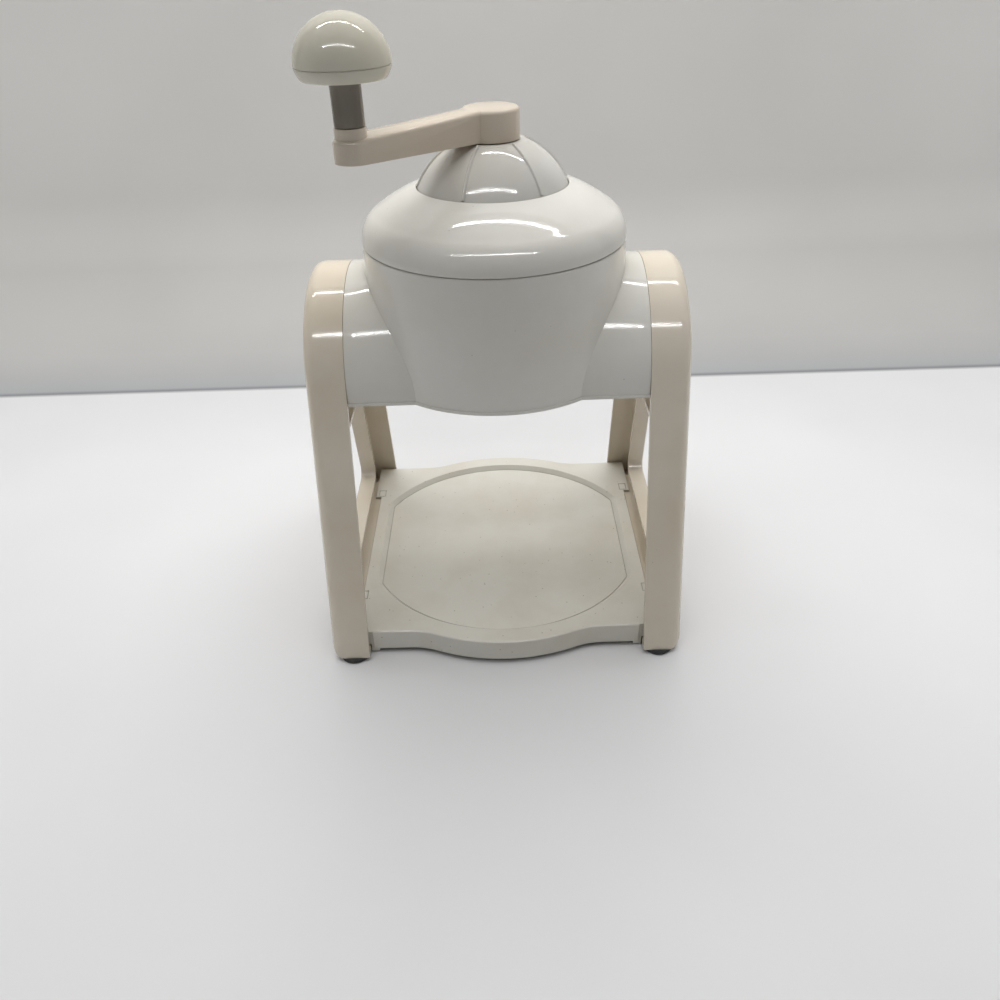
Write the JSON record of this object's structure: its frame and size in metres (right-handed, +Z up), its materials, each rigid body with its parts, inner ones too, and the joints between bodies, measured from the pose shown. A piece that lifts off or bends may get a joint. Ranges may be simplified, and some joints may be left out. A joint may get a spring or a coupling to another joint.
{
  "type": "hand cranked ice shaver",
  "caption": "Table-top ice shaver: two arched side frames carry a tray and a round hopper housing; a crank on the domed lid turns ice over a blade.",
  "frame": {"origin": "on the table, below the axis of the crank spindle, midway between the two side frames", "axes": "+Z up along the crank spindle; +X to the right across the two side frames; +Y to the back"},
  "size_m": [0.1976, 0.1972, 0.3186],
  "materials": {
    "almond_moulding": "glossy almond moulding, softly rounded outer edges",
    "white_moulding": "glossy off-white moulding",
    "dome_moulding": "glossy cool grey-white moulding",
    "tray_moulding": "satin light warm grey, worn by use",
    "liner_moulding": "satin milk-white, food safe",
    "acetal": "smooth natural acetal",
    "foot_rubber": "matt black",
    "screw_steel": "bright zinc-plated",
    "blade_steel": "ground, sharp front edge",
    "shaft_steel": "turned, bright",
    "crank_moulding": "glossy almond moulding",
    "stem_moulding": "satin mid grey",
    "knob_moulding": "glossy off-white, polished by the palm"
  },
  "bodies": {
    "stand": {"side_frame_left": "almond_moulding", "side_frame_right": "almond_moulding", "rubber_feet": "foot_rubber", "frame_screws": "screw_steel", "tray_screws": "screw_steel", "base_tray": "tray_moulding", "body_housing": "white_moulding", "ice_hopper": "liner_moulding", "blade_plate": "liner_moulding", "blade": "blade_steel", "blade_screws": "screw_steel", "plate_screws": "screw_steel"},
    "lid": {"lid": "white_moulding", "lid_plate": "liner_moulding", "lid_plate_screws": "screw_steel", "dome_cover": "dome_moulding", "feed_nut": "acetal", "spindle_bush": "acetal"},
    "crank": {"crank_arm": "crank_moulding", "drive_spindle": "shaft_steel", "spindle_clip": "shaft_steel", "knob_pin": "shaft_steel", "knob_washer": "screw_steel"},
    "presser": {"feed_screw": "shaft_steel", "presser_disc": "liner_moulding", "presser_spikes": "screw_steel", "presser_screw": "screw_steel"},
    "knob": {"knob_stem": "stem_moulding", "knob_base": "knob_moulding", "knob_cap": "knob_moulding"}
  },
  "joints": [
    {"name": "lid_twist", "type": "hinge", "parent": "stand", "child": "lid", "pos_m": [0, 0, 0.211], "axis": [0, 0, 1], "range_deg": [0, 20]},
    {"name": "crank_spin", "type": "hinge", "parent": "lid", "child": "crank", "pos_m": [0, 0, 0.2586], "axis": [0, 0, -1], "range_deg": [0, 2160]},
    {"name": "presser_feed", "type": "slide", "parent": "crank", "child": "presser", "axis": [0, 0, -1], "range_m": [0, 0.033]},
    {"name": "knob_spin", "type": "hinge", "parent": "crank", "child": "knob", "pos_m": [-0.06038, -0.05157, 0.285], "axis": [0, 0, 1], "continuous": true}
  ],
  "couplings": [
    {"joint": "presser_feed", "follows": "crank_spin", "m_per_rad": 0.00087535}
  ]
}
